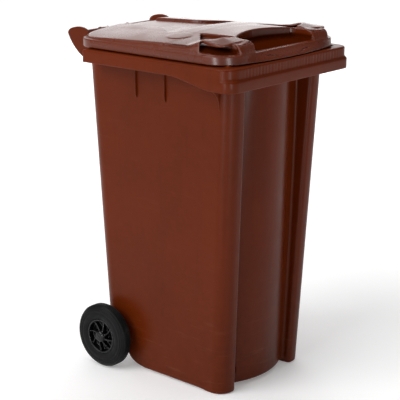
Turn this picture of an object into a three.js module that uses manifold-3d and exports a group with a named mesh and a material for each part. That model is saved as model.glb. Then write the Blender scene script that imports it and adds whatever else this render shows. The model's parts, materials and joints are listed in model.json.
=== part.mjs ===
// Two-wheeled 240-litre refuse bin: tub with rim and rear handles, hinged lid, axle and two wheels.
// Millimetres, +Z up, the front of the bin faces -Y. Heights are measured from the ground.
// Inside the model, y is measured rearward from the front of the rim's upper band; the whole group
// is then moved so that the origin lies under the middle of the footprint.
import * as THREE from 'three';
import { mergeVertices } from 'three/addons/utils/BufferGeometryUtils.js';
import Module from 'manifold-3d';

const wasm = await Module();
wasm.setup();

// ---------------------------------------------------------------- driving dimensions
const WALL = 4.5;                       // tub wall
const LID_WALL = 3.5;
const FIT_GAP = 0.3;                    // clearance between pieces that touch
const DEEP = 400;                       // length of a cutting tool that only has to pass through

const TUB = {
  base: {
    half: 198.5, front: 88, rear: 559, columnInner: 133, panelHalf: 112, panelRadius: 250, crown: 84,
  },
  top: {
    half: 225.5, front: 42.5, rear: 605.5, columnInner: 155, panelHalf: 112, panelRadius: 150, crown: 46,
  },
  topHeight: 940,                       // height at which the top sizes hold
  frontRadius: 45,
  rearRadius: 50,
  columnRadius: 14,
  floor: 26,
};
const RIM = {
  half: 290, front: 0, rear: 554, top: 1000, flange: 6, skirt: 4,
  frontRadius: 45, rearRadius: 8, sideBottom: 962, frontBottom: 934,
  bandTop: 967, bandProud: 5, bandRadius: 36, sweepFront: 48, sweepRear: 232,
};
const RIB = {
  thick: 3, frontPitch: 44, sidePitch: 75,
  stripFoot: 874, stripOut: 10, stripPlaces: [285, 397], gussetPlace: 87, gussetFoot: 868,
};
const AXIS = { y: 697, z: 1012 };       // hinge line and rear grips
const EAR = { inner: 181, outer: 189, foot: 938, front: 615, crest: 1045, rear: 715 };
const GRIP = { radius: 12 };
const LUG = { innerPlate: [24, 29], outerPlate: [57, 65], boss: 15 };
const ARM = { from: 30, to: 56, boss: 14 };
const PIN = { radius: 6, headRadius: 9, head: [19.2, 23.7], end: 67 };
const STEP = { front: 474, height: 145, radius: 30 };     // raised rear floor over the axle
const WEDGE = { front: 425, reach: 42, rise: 24 };
const FOOT = { inner: 132, rear: 160, centreHeight: 10, sideHeight: 4 };
const AXLE = { y: 525, radius: 10, end: 268 };
const AXLE_LUGS = [[60, 70], [182, 194]];
const WHEEL = { radius: 100, middle: 244, tyreHalf: 22, rimRadius: 55 };
const HUB = { half: 20, boss: 18, barrel: 49, spokes: 8, spokeThick: 5, innerFace: 220, outerFace: 264 };
const LID = {
  half: 273, front: 22, rear: 612, bottom: 1003, lipTop: 1029, top: 1068,
  frontRadius: 84, rearRadius: 84, frontBow: 12,
};
// Fall of the lid's top surface from its highest line, towards the sides and towards the rear.
const CROWN = { sideReach: 215, sideFall: 15, rearFrom: 130, rearReach: 450, rearFall: 15 };
// Lift of the top surface towards the rear ends of the hand bars.
const CORNER = { rise: 13, inner: 185, outer: 235, front: 130, rear: 190 };
const VALLEY = { half: 84, front: 300, drop: 7 };
const POCKET = { half: 138, floor: 1031, edgeMiddle: 142, edgeSide: 110, round: 14 };
// Hand hold on the left: plan of its hollow, from the front edge inward, and of the bar across it.
const HAND = {
  front: -40, floor: 1038, barSink: 1, barThick: 8,
  hollow: [[-208, 60], [-198, 80], [-172, 92], [-150, 101], [-132, 122], [-128, 136]],
  rear: [[-128, 232], [-135, 236], [-274, 119]],
  barOuter: [[-205, 188], [-228, 155], [-244, 118], [-251, 85], [-239, 63], [-215, 54], [-146, 57]],
  barInner: [[-146, 97], [-180, 101], [-203, 118], [-213, 135], [-213, 150], [-190, 190]],
};

const TUB_REAR = TUB.top.rear;
const DEPTH = { front: RIM.front - RIM.bandProud, rear: EAR.rear };
const ORIGIN_SHIFT = -(DEPTH.front + DEPTH.rear) / 2;

// ---------------------------------------------------------------- materials
const plastic = new THREE.MeshStandardMaterial({ color: 0x6b3423, roughness: 0.38, metalness: 0 });
const blackPlastic = new THREE.MeshStandardMaterial({ color: 0x1b1b1d, roughness: 0.45, metalness: 0 });
const rubber = new THREE.MeshStandardMaterial({ color: 0x17171a, roughness: 0.7, metalness: 0 });
const zincSteel = new THREE.MeshStandardMaterial({ color: 0xb4b6b8, roughness: 0.35, metalness: 1 });

// ---------------------------------------------------------------- solids
const X_AXIS = new THREE.Vector3(1, 0, 0);
const Y_AXIS = new THREE.Vector3(0, 1, 0);
const Z_AXIS = new THREE.Vector3(0, 0, 1);

function solid(geometry) {
  geometry.deleteAttribute('normal');
  geometry.deleteAttribute('uv');
  const merged = mergeVertices(geometry, 1e-4);
  const mesh = new wasm.Mesh({
    numProp: 3,
    vertProperties: new Float32Array(merged.attributes.position.array),
    triVerts: new Uint32Array(merged.index.array),
  });
  return new wasm.Manifold(mesh);
}

function unite(solids) {
  return solids.reduce((sum, piece) => sum.add(piece));
}

function geometryOf(body) {
  const { vertProperties, triVerts } = body.getMesh();
  const geometry = new THREE.BufferGeometry();
  geometry.setAttribute('position', new THREE.BufferAttribute(new Float32Array(vertProperties), 3));
  geometry.setIndex(new THREE.BufferAttribute(new Uint32Array(triVerts), 1));
  geometry.computeVertexNormals();
  return geometry;
}

function node(name, body, material) {
  const mesh = new THREE.Mesh(geometryOf(body), material);
  mesh.name = name;
  return mesh;
}

// A plan shape (x, y) raised from z0 to z1.
function prism(shape, z0, z1, curveSegments = 6) {
  const geometry = new THREE.ExtrudeGeometry(shape, { depth: z1 - z0, bevelEnabled: false, curveSegments });
  geometry.translate(0, 0, z0);
  return solid(geometry);
}

// A side shape (y, z) run across from x0 to x1.
function crossbar(shape, x0, x1, curveSegments = 6) {
  const geometry = new THREE.ExtrudeGeometry(shape, { depth: x1 - x0, bevelEnabled: false, curveSegments });
  geometry.applyMatrix4(new THREE.Matrix4().makeBasis(Y_AXIS, Z_AXIS, X_AXIS));
  geometry.translate(x0, 0, 0);
  return solid(geometry);
}

function block(x0, x1, y0, y1, z0, z1) {
  const geometry = new THREE.BoxGeometry(x1 - x0, y1 - y0, z1 - z0);
  geometry.translate((x0 + x1) / 2, (y0 + y1) / 2, (z0 + z1) / 2);
  return solid(geometry);
}

// A round bar along X between x0 and x1.
function bar(radius, x0, x1, y, z, segments = 24) {
  const geometry = new THREE.CylinderGeometry(radius, radius, x1 - x0, segments);
  geometry.rotateZ(Math.PI / 2);
  geometry.translate((x0 + x1) / 2, y, z);
  return solid(geometry);
}

// A closed profile of (radius, distance along X), turned about the X direction through (y, z).
function turned(profile, y, z, segments = 40) {
  const points = profile.map(([radius, along]) => new THREE.Vector2(radius, along));
  if (points[0].x > 0) points.push(points[0].clone());
  const geometry = new THREE.LatheGeometry(points, segments);
  geometry.rotateZ(-Math.PI / 2);
  geometry.translate(0, y, z);
  const body = solid(geometry);
  return body.volume() < 0 ? solid(flipped(geometry)) : body;
}

function flipped(geometry) {
  const copy = geometry.clone();
  const index = copy.index.array;
  for (let i = 0; i < index.length; i += 3) {
    [index[i], index[i + 1]] = [index[i + 1], index[i]];
  }
  return copy;
}

// A skin through level outlines that all have the same number of points.
function loft(levels) {
  const count = levels[0].points.length;
  const position = levels.flatMap(({ z, points }) => points.flatMap((p) => [p.x, p.y, z]));
  const index = [];
  for (let level = 0; level < levels.length - 1; level += 1) {
    for (let i = 0; i < count; i += 1) {
      const a = level * count + i;
      const b = level * count + ((i + 1) % count);
      index.push(a, b, b + count, a, b + count, a + count);
    }
  }
  const last = (levels.length - 1) * count;
  for (const [a, b, c] of THREE.ShapeUtils.triangulateShape(levels[0].points, [])) index.push(c, b, a);
  for (const [a, b, c] of THREE.ShapeUtils.triangulateShape(levels.at(-1).points, [])) {
    index.push(last + a, last + b, last + c);
  }
  const geometry = new THREE.BufferGeometry();
  geometry.setAttribute('position', new THREE.Float32BufferAttribute(position, 3));
  geometry.setIndex(index);
  return solid(geometry);
}

// ---------------------------------------------------------------- outlines
// Anticlockwise points of a shape, the closing point left out.
function outlinePoints(shape, segments) {
  const all = shape.getPoints(segments);
  const points = all.filter((point, i) => point.distanceTo(all[(i + 1) % all.length]) > 1e-4);
  return THREE.ShapeUtils.isClockWise(points) ? points.reverse() : points;
}

// The same outline moved inward, point by point.
function inset(points, distance) {
  const count = points.length;
  return points.map((point, i) => {
    const before = point.clone().sub(points[(i + count - 1) % count]).normalize();
    const after = points[(i + 1) % count].clone().sub(point).normalize();
    const normal = new THREE.Vector2(-before.y - after.y, before.x + after.x).normalize();
    const reach = distance / Math.max(0.3, normal.dot(new THREE.Vector2(-after.y, after.x)));
    return point.clone().addScaledVector(normal, reach);
  });
}

function roundedRectangle(half, front, rear, frontRadius, rearRadius) {
  const shape = new THREE.Shape();
  shape.moveTo(-half + frontRadius, front);
  shape.lineTo(half - frontRadius, front);
  shape.absarc(half - frontRadius, front + frontRadius, frontRadius, -Math.PI / 2, 0);
  shape.lineTo(half, rear - rearRadius);
  shape.absarc(half - rearRadius, rear - rearRadius, rearRadius, 0, Math.PI / 2);
  shape.lineTo(-half + rearRadius, rear);
  shape.absarc(-half + rearRadius, rear - rearRadius, rearRadius, Math.PI / 2, Math.PI);
  shape.lineTo(-half, front + frontRadius);
  shape.absarc(-half + frontRadius, front + frontRadius, frontRadius, Math.PI, Math.PI * 1.5);
  return shape;
}

function sizesAt(z) {
  const share = z / TUB.topHeight;
  const sizes = {};
  for (const key of Object.keys(TUB.base)) {
    sizes[key] = TUB.base[key] + (TUB.top[key] - TUB.base[key]) * share;
  }
  return sizes;
}

// Tub outline at height z: corner columns, a crowned front panel between them, rounded rear corners.
function tubOutline(z) {
  const { half, front, rear, columnInner, panelHalf, panelRadius, crown } = sizesAt(z);
  const { frontRadius, rearRadius, columnRadius } = TUB;
  const swing = Math.asin(panelHalf / panelRadius);
  const channel = crown + panelRadius * (1 - Math.cos(swing)) + 3;
  const shape = new THREE.Shape();
  shape.moveTo(-panelHalf, channel - 3);
  shape.absarc(0, crown + panelRadius, panelRadius, -Math.PI / 2 - swing, -Math.PI / 2 + swing);
  shape.lineTo(columnInner - 3, channel);
  shape.lineTo(columnInner, front + columnRadius);
  shape.absarc(columnInner + columnRadius, front + columnRadius, columnRadius, Math.PI, Math.PI * 1.5);
  shape.lineTo(half - frontRadius, front);
  shape.absarc(half - frontRadius, front + frontRadius, frontRadius, -Math.PI / 2, 0);
  shape.lineTo(half, rear - rearRadius);
  shape.absarc(half - rearRadius, rear - rearRadius, rearRadius, 0, Math.PI / 2);
  shape.lineTo(-half + rearRadius, rear);
  shape.absarc(-half + rearRadius, rear - rearRadius, rearRadius, Math.PI / 2, Math.PI);
  shape.lineTo(-half, front + frontRadius);
  shape.absarc(-half + frontRadius, front + frontRadius, frontRadius, Math.PI, Math.PI * 1.5);
  shape.lineTo(-columnInner - columnRadius, front);
  shape.absarc(-columnInner - columnRadius, front + columnRadius, columnRadius, -Math.PI / 2, 0);
  shape.lineTo(-columnInner + 3, channel);
  return outlinePoints(shape, 4);
}

function tubSolid(fromHeight, toHeight, distance) {
  const level = (z) => ({ z, points: inset(tubOutline(z), distance) });
  return loft([level(fromHeight), level(toHeight)]);
}

// ---------------------------------------------------------------- tub
// Space under the raised rear floor, grown by a distance to make the wall around it.
function axleBay(grow) {
  const { front, height, radius } = STEP;
  const shape = new THREE.Shape();
  shape.moveTo(front - grow, -10);
  shape.lineTo(front - grow, height - radius);
  shape.absarc(front + radius, height - radius + grow, radius + grow, Math.PI, Math.PI / 2, true);
  shape.lineTo(front + DEEP, height + grow);
  shape.lineTo(front + DEEP, -10);
  return crossbar(shape, -DEEP, DEEP);
}

// Thickening of the floor where the underside rises to meet the axle bay.
function floorWedge() {
  const { floor } = TUB;
  const { front, rise, reach } = WEDGE;
  const shape = new THREE.Shape();
  shape.moveTo(front, floor - 1);
  shape.lineTo(front, floor);
  shape.lineTo(front + reach, floor + rise);
  shape.lineTo(STEP.front + 1, floor + rise);
  shape.lineTo(STEP.front + 1, floor - 1);
  return crossbar(shape, -DEEP, DEEP);
}

// The underside rises towards the rear, and the middle of the front edge stands off the ground.
function undersideCut() {
  const shape = new THREE.Shape();
  shape.moveTo(FOOT.rear, 0);
  shape.quadraticCurveTo(FOOT.rear + 20, FOOT.sideHeight, FOOT.rear + 60, FOOT.sideHeight);
  shape.lineTo(400, FOOT.sideHeight + 2);
  shape.quadraticCurveTo(462, FOOT.sideHeight + 6, STEP.front + 1, 48);
  shape.lineTo(STEP.front + 1, -10);
  shape.lineTo(FOOT.rear, -10);
  const slope = crossbar(shape, -DEEP, DEEP);
  const middle = block(-FOOT.inner, FOOT.inner, 0, FOOT.rear + 1, -10, FOOT.centreHeight);
  return slope.add(middle);
}

// Lower edge of the rim: shallow along the sides, swept down to the deeper front.
function rimLowerCut() {
  const shape = new THREE.Shape();
  const middle = (RIM.sweepFront + RIM.sweepRear) / 2;
  shape.moveTo(-50, RIM.frontBottom);
  shape.lineTo(RIM.sweepFront, RIM.frontBottom);
  shape.bezierCurveTo(middle, RIM.frontBottom, middle, RIM.sideBottom, RIM.sweepRear, RIM.sideBottom);
  shape.lineTo(DEEP * 2, RIM.sideBottom);
  shape.lineTo(DEEP * 2, 900);
  shape.lineTo(-50, 900);
  return crossbar(shape, -DEEP, DEEP, 8);
}

function rimSolid() {
  const { half, front, rear, frontRadius, rearRadius, top, flange, skirt, bandTop, bandRadius } = RIM;
  const bandFront = front - RIM.bandProud;
  const upper = roundedRectangle(half, front, rear, frontRadius, rearRadius);
  const lower = roundedRectangle(half, bandFront, rear, bandRadius, rearRadius);
  const outer = prism(upper, RIM.frontBottom, top).add(prism(lower, RIM.frontBottom, bandTop));
  const hollowUpper = roundedRectangle(half - skirt, front + skirt, rear - skirt, frontRadius - skirt, 4);
  const hollowLower = roundedRectangle(half - skirt, bandFront + skirt, rear - skirt, bandRadius - skirt, 4);
  const hollow = prism(hollowUpper, 900, top - flange).add(prism(hollowLower, 900, bandTop - skirt));
  const plates = rimRibs().intersect(prism(lower, RIM.frontBottom, top - 1));
  return outer.subtract(hollow).add(plates).subtract(rimLowerCut());
}

// Stiffening plates inside the hollow rim, which also make the comb that a lifting truck grips.
function rimRibs() {
  const plates = [];
  const half = RIB.thick / 2;
  for (let i = -5; i <= 5; i += 1) {
    const x = i * RIB.frontPitch;
    plates.push(block(x - half, x + half, -10, TUB.top.front + 40, RIM.frontBottom, RIM.top - 1));
  }
  for (let i = 0; i < 6; i += 1) {
    const y = 120 + i * RIB.sidePitch;
    plates.push(block(-RIM.half, RIM.half, y - half, y + half, RIM.frontBottom, RIM.top - 1));
  }
  return unite(plates);
}

// Slim strips that run from the rim down the sides, and a gusset behind each front corner.
function sideStrips() {
  const { stripFoot, stripOut, stripPlaces, gussetPlace, gussetFoot, thick } = RIB;
  const wall = TUB.top.half - 8;
  const wide = TUB.top.half + stripOut;
  const strip = new THREE.Shape();
  strip.moveTo(wall, RIM.top - 3);
  strip.lineTo(wall, stripFoot - 10);
  strip.lineTo(wide - 4, stripFoot);
  strip.lineTo(wide, stripFoot + 12);
  strip.lineTo(wide, RIM.top - 3);
  const gusset = new THREE.Shape();
  gusset.moveTo(wall, RIM.frontBottom + 10);
  gusset.lineTo(wall, gussetFoot - 10);
  gusset.lineTo(TUB.top.half, gussetFoot);
  gusset.lineTo(RIM.half - 6, RIM.frontBottom + 10);
  const right = stripPlaces.map((y) => acrossPlate(strip, y, thick));
  right.push(acrossPlate(gusset, gussetPlace, thick));
  const plates = unite(right);
  return plates.add(mirrored(plates));
}

// A shape in (x, z) as a plate of the given thickness centred on y.
function acrossPlate(shape, y, thickness) {
  const geometry = new THREE.ExtrudeGeometry(shape, { depth: thickness, bevelEnabled: false });
  geometry.rotateX(Math.PI / 2);
  geometry.translate(0, y + thickness / 2, 0);
  return solid(geometry);
}

// Side plate of a rear handle, sweeping up from the rear wall around the end of the grip.
function earShape() {
  const { foot, front, crest, rear } = EAR;
  const rimTop = RIM.top - 2;
  const shape = new THREE.Shape();
  shape.moveTo(TUB_REAR - 5, foot);
  shape.bezierCurveTo(TUB_REAR + 50, foot + 6, rear - 22, rimTop - 25, rear, rimTop + 22);
  shape.bezierCurveTo(rear + 1, crest - 12, rear - 16, crest - 6, rear - 38, crest - 2);
  shape.quadraticCurveTo(rear - 60, crest + 3, front + 13, crest - 10);
  shape.lineTo(front, crest - 28);
  shape.lineTo(front, rimTop);
  shape.lineTo(TUB_REAR - 5, rimTop);
  return shape;
}

// Bracket that carries the hinge line from the tub's rear wall.
function lugShape() {
  const { boss } = LUG;
  const rimTop = RIM.top - 2;
  const wall = TUB_REAR - 5;
  const mouth = 0.3;                    // where the curve from the wall meets the boss, in radians
  const shape = new THREE.Shape();
  shape.moveTo(wall, EAR.foot);
  const end = [AXIS.y + boss * Math.cos(mouth), AXIS.z - boss * Math.sin(mouth)];
  shape.quadraticCurveTo(AXIS.y - 20, AXIS.z - 70, ...end);
  shape.absarc(AXIS.y, AXIS.z, boss, -mouth, Math.PI / 2);
  shape.lineTo(AXIS.y - boss - 10, rimTop);
  shape.lineTo(wall, rimTop);
  return shape;
}

function rearHandles() {
  const plates = [
    crossbar(earShape(), EAR.inner, EAR.outer),
    crossbar(lugShape(), ...LUG.innerPlate),
    crossbar(lugShape(), ...LUG.outerPlate),
    bar(GRIP.radius, LUG.outerPlate[0] + 4, EAR.inner + 1, AXIS.y, AXIS.z),
  ];
  const right = unite(plates);
  return right.add(mirrored(right));
}

// Holes for the hinge pins: through the inner brackets, blind in the grips.
function handleBores() {
  const bore = bar(PIN.radius + FIT_GAP, PIN.head[1] - 2, PIN.end + FIT_GAP, AXIS.y, AXIS.z);
  return bore.add(mirrored(bore));
}

function axleLugs() {
  const shape = new THREE.Shape();
  shape.moveTo(STEP.front - 2, 70);
  shape.lineTo(AXLE.y - 12, WHEEL.radius - 18);
  shape.absarc(AXLE.y, WHEEL.radius, 21, -2.1, 0);
  shape.lineTo(AXLE.y + 21, STEP.height + 2);
  shape.lineTo(STEP.front - 2, STEP.height + 2);
  const plates = AXLE_LUGS.flatMap(([a, b]) => [crossbar(shape, a, b), crossbar(shape, -b, -a)]);
  return unite(plates);
}

function binBody() {
  const { top } = RIM;
  const shell = tubSolid(0, top, 0).subtract(axleBay(0)).subtract(undersideCut());
  const outside = unite([shell, rimSolid(), sideStrips(), rearHandles(), axleLugs()]);
  const inside = tubSolid(TUB.floor, top + 5, WALL).subtract(axleBay(WALL)).subtract(floorWedge());
  const axleBore = bar(AXLE.radius + FIT_GAP, -DEEP, DEEP, AXLE.y, WHEEL.radius);
  return outside.subtract(inside).subtract(handleBores()).subtract(axleBore);
}

// ---------------------------------------------------------------- lid
// Lid outline, drawn in by a distance: straight sides, bowed front edge, large corners.
function lidOutline(distance) {
  const half = LID.half - distance;
  const front = LID.front + distance;
  const rear = LID.rear - distance;
  const frontRadius = LID.frontRadius - distance * 0.5;
  const rearRadius = LID.rearRadius - distance * 0.5;
  const shape = new THREE.Shape();
  shape.moveTo(-half + frontRadius, front);
  shape.quadraticCurveTo(0, front - 2 * LID.frontBow, half - frontRadius, front);
  shape.absarc(half - frontRadius, front + frontRadius, frontRadius, -Math.PI / 2, 0);
  shape.lineTo(half, rear - rearRadius);
  shape.absarc(half - rearRadius, rear - rearRadius, rearRadius, 0, Math.PI / 2);
  shape.lineTo(-half + rearRadius, rear);
  shape.absarc(-half + rearRadius, rear - rearRadius, rearRadius, Math.PI / 2, Math.PI);
  shape.lineTo(-half, front + frontRadius);
  shape.absarc(-half + frontRadius, front + frontRadius, frontRadius, Math.PI, Math.PI * 1.5);
  return outlinePoints(shape, 5);
}

// Height of the lid's top: highest along the middle of the front, falling to the sides and rear.
function crownHeight(x, y) {
  const side = Math.abs(x) / CROWN.sideReach;
  const rear = Math.max(0, (y - CROWN.rearFrom) / CROWN.rearReach);
  const { smoothstep } = THREE.MathUtils;
  const outward = smoothstep(Math.abs(x), CORNER.inner, CORNER.outer);
  const forward = 1 - smoothstep(y, CORNER.front, CORNER.rear);
  const fall = CROWN.sideFall * side ** 2 + CROWN.rearFall * rear ** 1.5;
  return LID.top - fall + CORNER.rise * outward * forward;
}

// Everything under the lid's top surface, lowered by a distance.
function underCrown(lowered, halfWidth = LID.half + 10) {
  const [front, rear, low] = [LID.front - 30, LID.rear + 10, LID.bottom - 20];
  const geometry = new THREE.BoxGeometry(2 * halfWidth, rear - front, 1, 16, 20, 1);
  geometry.translate(0, (front + rear) / 2, 0);
  const place = geometry.attributes.position;
  for (let i = 0; i < place.count; i += 1) {
    const z = place.getZ(i) > 0 ? crownHeight(place.getX(i), place.getY(i)) - lowered : low;
    place.setZ(i, z);
  }
  return solid(geometry);
}

// The lid's full outer form before anything is cut: lip, shoulder and crowned top.
function lidForm(wall) {
  const { bottom, lipTop, top } = LID;
  const low = wall > 0 ? bottom - 10 : bottom;
  const steps = [
    [low, 0], [lipTop - wall, 0], [lipTop + 4 - wall, 6],
    [lipTop + 16 - wall, 13], [lipTop + 33 - wall, 26], [top - wall, 36],
  ];
  const sides = loft(steps.map(([z, drawn]) => ({ z, points: lidOutline(drawn + wall) })));
  return sides.intersect(underCrown(wall));
}

// Hollows in the top of the lid, grown by a wall where they shape its underside.
function valley(wall) {
  const half = VALLEY.half + wall;
  const front = VALLEY.front - wall;
  const shape = new THREE.Shape();
  shape.moveTo(-half, LID.rear + 20);
  shape.lineTo(-half, 400);
  shape.bezierCurveTo(-half, 340, -half - 40, front, 0, front);
  shape.bezierCurveTo(half + 40, front, half, 340, half, 400);
  shape.lineTo(half, LID.rear + 20);
  const column = prism(shape, LID.bottom, LID.top + 20);
  return column.subtract(underCrown(VALLEY.drop + wall));
}

function pocket(wall) {
  const half = POCKET.half + wall;
  const side = POCKET.edgeSide + wall;
  const { round } = POCKET;
  const shape = new THREE.Shape();
  shape.moveTo(-half, -20);
  shape.lineTo(half, -20);
  shape.lineTo(half, side - round);
  shape.quadraticCurveTo(half, side, half - round, side + 2);
  shape.quadraticCurveTo(0, 2 * POCKET.edgeMiddle - POCKET.edgeSide + wall, -half + round, side + 2);
  shape.quadraticCurveTo(-half, side, -half, side - round);
  return prism(shape, POCKET.floor - wall, LID.top + 20);
}

// Open corner under and behind a hand bar, on the side given by sign.
function handHollow(sign, wall) {
  const shape = new THREE.Shape();
  shape.moveTo(-DEEP, HAND.front);
  shape.lineTo(HAND.hollow[0][0] + wall, HAND.front);
  HAND.hollow.forEach(([x, y]) => shape.lineTo(x + wall, y - wall));
  HAND.rear.forEach(([x, y]) => shape.lineTo(x + wall, y + wall));
  shape.lineTo(-DEEP, HAND.rear[2][1] + wall);
  const hollow = prism(shape, HAND.floor - wall, LID.top + 20);
  return sign < 0 ? hollow : mirrored(hollow);
}

function mirrored(body) {
  return body.mirror([1, 0, 0]);
}

// Curved bar over a front corner of the lid, gripped to lift it, which follows the lid's top surface.
function handBar() {
  const { barOuter, barInner, barSink, barThick } = HAND;
  const outline = [...barOuter, ...barInner].map(([x, y]) => new THREE.Vector2(x, y));
  const column = prism(new THREE.Shape(outline), LID.bottom, LID.top + 20);
  return column.intersect(underCrown(barSink)).subtract(underCrown(barSink + barThick));
}

function hingeArms() {
  const { y, z } = AXIS;
  const { boss, from, to } = ARM;
  const lean = 0.15;                    // tilt of the arm's lower face, in radians
  const shape = new THREE.Shape();
  shape.moveTo(LID.rear - 2, LID.bottom);
  shape.lineTo(y - boss * Math.sin(lean), z - boss * Math.cos(lean));
  shape.absarc(y, z, boss, -Math.PI / 2 - lean, Math.PI / 2);
  shape.lineTo(LID.rear - 2, z + boss + 2);
  const arm = crossbar(shape, from, to);
  return arm.add(mirrored(arm));
}

function lid() {
  const cuts = (wall) => unite([valley(wall), pocket(wall), handHollow(-1, wall), handHollow(1, wall)]);
  const outside = lidForm(0).subtract(cuts(0));
  const inside = lidForm(LID_WALL).subtract(cuts(LID_WALL));
  const bars = handBar().add(mirrored(handBar()));
  const bore = bar(PIN.radius + FIT_GAP, -DEEP, DEEP, AXIS.y, AXIS.z);
  return outside.subtract(inside).add(bars).add(hingeArms()).subtract(bore);
}

function hingePin() {
  const [headStart, headEnd] = PIN.head;
  const r = PIN.radius;
  return turned([
    [0, headStart], [PIN.headRadius - 2, headStart], [PIN.headRadius, headStart + 1.5],
    [PIN.headRadius, headEnd], [r, headEnd], [r, PIN.end - 3], [r - 2, PIN.end], [0, PIN.end],
  ], AXIS.y, AXIS.z, 24);
}

// ---------------------------------------------------------------- wheels, drawn for the right side
function axle() {
  const { radius, end, y } = AXLE;
  return turned([
    [0, -end], [radius - 1.5, -end], [radius, -end + 1.5], [radius, end - 1.5], [radius - 1.5, end], [0, end],
  ], y, WHEEL.radius, 24);
}

function spacerSleeve() {
  const from = AXLE_LUGS[1][1] + FIT_GAP;
  const to = HUB.innerFace - FIT_GAP;
  const bore = AXLE.radius + FIT_GAP;
  return turned([[bore, from], [15, from], [15, to], [bore, to]], AXLE.y, WHEEL.radius, 24);
}

function tyre() {
  const { radius: R, rimRadius, middle, tyreHalf: w } = WHEEL;
  const inner = rimRadius + FIT_GAP;
  const groove = (at) => [[R, at - 2.4], [R - 2.6, at - 1.2], [R - 2.6, at + 1.2], [R, at + 2.4]];
  const half = [
    [inner, -w + 5], [inner + 4, -w + 2], [76, -w], [89, -w + 2], [96.5, -w + 6], [R - 0.6, -w + 11],
  ];
  const profile = [
    ...half, ...[-5, 5].flatMap(groove), ...half.map(([r, at]) => [r, -at]).reverse(),
  ];
  return turned(profile.map(([r, at]) => [r, at + middle]), AXLE.y, WHEEL.radius, 44);
}

function wheelHub() {
  const { middle, rimRadius } = WHEEL;
  const { half, boss, barrel, innerFace, outerFace, spokes, spokeThick } = HUB;
  const bore = AXLE.radius + FIT_GAP;
  const ring = turned([
    [barrel, middle - half], [rimRadius - 1, middle - half], [rimRadius, middle - half + 2],
    [rimRadius, middle + half - 2], [rimRadius - 1, middle + half], [barrel, middle + half],
    [barrel - 1, middle + 4], [barrel - 1, middle - 4],
  ], AXLE.y, WHEEL.radius, 44);
  const sleeve = [[bore, innerFace], [boss, innerFace], [boss, outerFace], [bore, outerFace]];
  const core = turned(sleeve, AXLE.y, WHEEL.radius, 24);
  const web = turned([
    [bore + 2, middle - 3], [barrel + 2, middle - 3], [barrel + 2, middle + 1], [bore + 2, middle + 1],
  ], AXLE.y, WHEEL.radius, 44);
  const arms = [];
  for (let i = 0; i < spokes; i += 1) {
    const geometry = new THREE.BoxGeometry(half + 12, spokeThick, barrel - boss + 4);
    geometry.translate(middle + 1, 0, (barrel + boss) / 2);
    geometry.rotateX((i / spokes) * 2 * Math.PI);
    geometry.translate(0, AXLE.y, WHEEL.radius);
    arms.push(solid(geometry));
  }
  return unite([ring, core, web, ...arms]);
}

function starLock() {
  const from = HUB.outerFace + FIT_GAP;
  const r = AXLE.radius + FIT_GAP;
  return turned([[r, from + 1], [15, from], [15, from + 1], [r, from + 2.2]], AXLE.y, WHEEL.radius, 24);
}

function hubCap() {
  const from = HUB.outerFace + FIT_GAP;
  return turned([
    [15.6, from], [HUB.boss, from], [HUB.boss, from + 4], [HUB.boss - 4, from + 7.5], [0, from + 8.5],
    [0, from + 6.5], [HUB.boss - 5, from + 5.5], [15.6, from + 3],
  ], AXLE.y, WHEEL.radius, 32);
}

// ---------------------------------------------------------------- assembly
const bin = new THREE.Group();
bin.position.y = ORIGIN_SHIFT;
bin.add(node('bin_body', binBody(), plastic));
bin.add(node('lid', lid(), plastic));
bin.add(node('axle', axle(), zincSteel));
const paired = [
  ['hinge_pin', hingePin(), blackPlastic],
  ['spacer_sleeve', spacerSleeve(), blackPlastic],
  ['wheel_hub', wheelHub(), blackPlastic],
  ['tyre', tyre(), rubber],
  ['star_lock_ring', starLock(), zincSteel],
  ['hub_cap', hubCap(), blackPlastic],
];
for (const [name, body, material] of paired) {
  bin.add(node(`${name}_right`, body, material));
  bin.add(node(`${name}_left`, mirrored(body), material));
}

export default bin;
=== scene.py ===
"""Wheelie bin: finely moulded surfaces, procedural plastics and soft studio light around the CAD frame.

Shapes are worked out in millimetres, with x from the bin's middle plane, y rearward from the front of
the rim's upper band and z from the ground. They become metres in the shared frame when a mesh is made.
"""

import json
import math

import bmesh
import bpy
import numpy as np
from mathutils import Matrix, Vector


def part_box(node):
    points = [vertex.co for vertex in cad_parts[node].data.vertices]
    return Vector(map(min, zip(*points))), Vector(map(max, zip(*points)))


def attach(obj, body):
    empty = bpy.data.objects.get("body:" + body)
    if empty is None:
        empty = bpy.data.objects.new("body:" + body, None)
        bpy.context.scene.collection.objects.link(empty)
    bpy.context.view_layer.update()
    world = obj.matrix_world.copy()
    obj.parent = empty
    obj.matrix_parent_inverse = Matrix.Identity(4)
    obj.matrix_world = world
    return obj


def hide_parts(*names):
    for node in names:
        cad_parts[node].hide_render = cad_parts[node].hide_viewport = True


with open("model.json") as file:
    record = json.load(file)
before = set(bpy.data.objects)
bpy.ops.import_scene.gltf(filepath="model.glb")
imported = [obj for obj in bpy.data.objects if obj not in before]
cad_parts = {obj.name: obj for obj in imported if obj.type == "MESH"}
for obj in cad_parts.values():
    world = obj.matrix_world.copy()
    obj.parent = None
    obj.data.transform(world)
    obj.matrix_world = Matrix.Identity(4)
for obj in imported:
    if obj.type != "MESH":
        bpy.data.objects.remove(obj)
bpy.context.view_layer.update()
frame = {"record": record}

MM = 0.001
RIM_PROUD = 5.0
ORIGIN = np.array([0.0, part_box("bin_body")[0][1] / MM + RIM_PROUD, 0.0])
JOINTS = {joint["name"]: joint for joint in frame["record"]["behaviour"]["joints"]}
HINGE = np.array(JOINTS["lid_hinge"]["pos_m"]) / MM - ORIGIN
WHEEL = np.array(JOINTS["wheel_right_spin"]["pos_m"]) / MM - ORIGIN
RIM_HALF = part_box("bin_body")[1][0] / MM
HINGE_Y, HINGE_Z = HINGE[1], HINGE[2]


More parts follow.
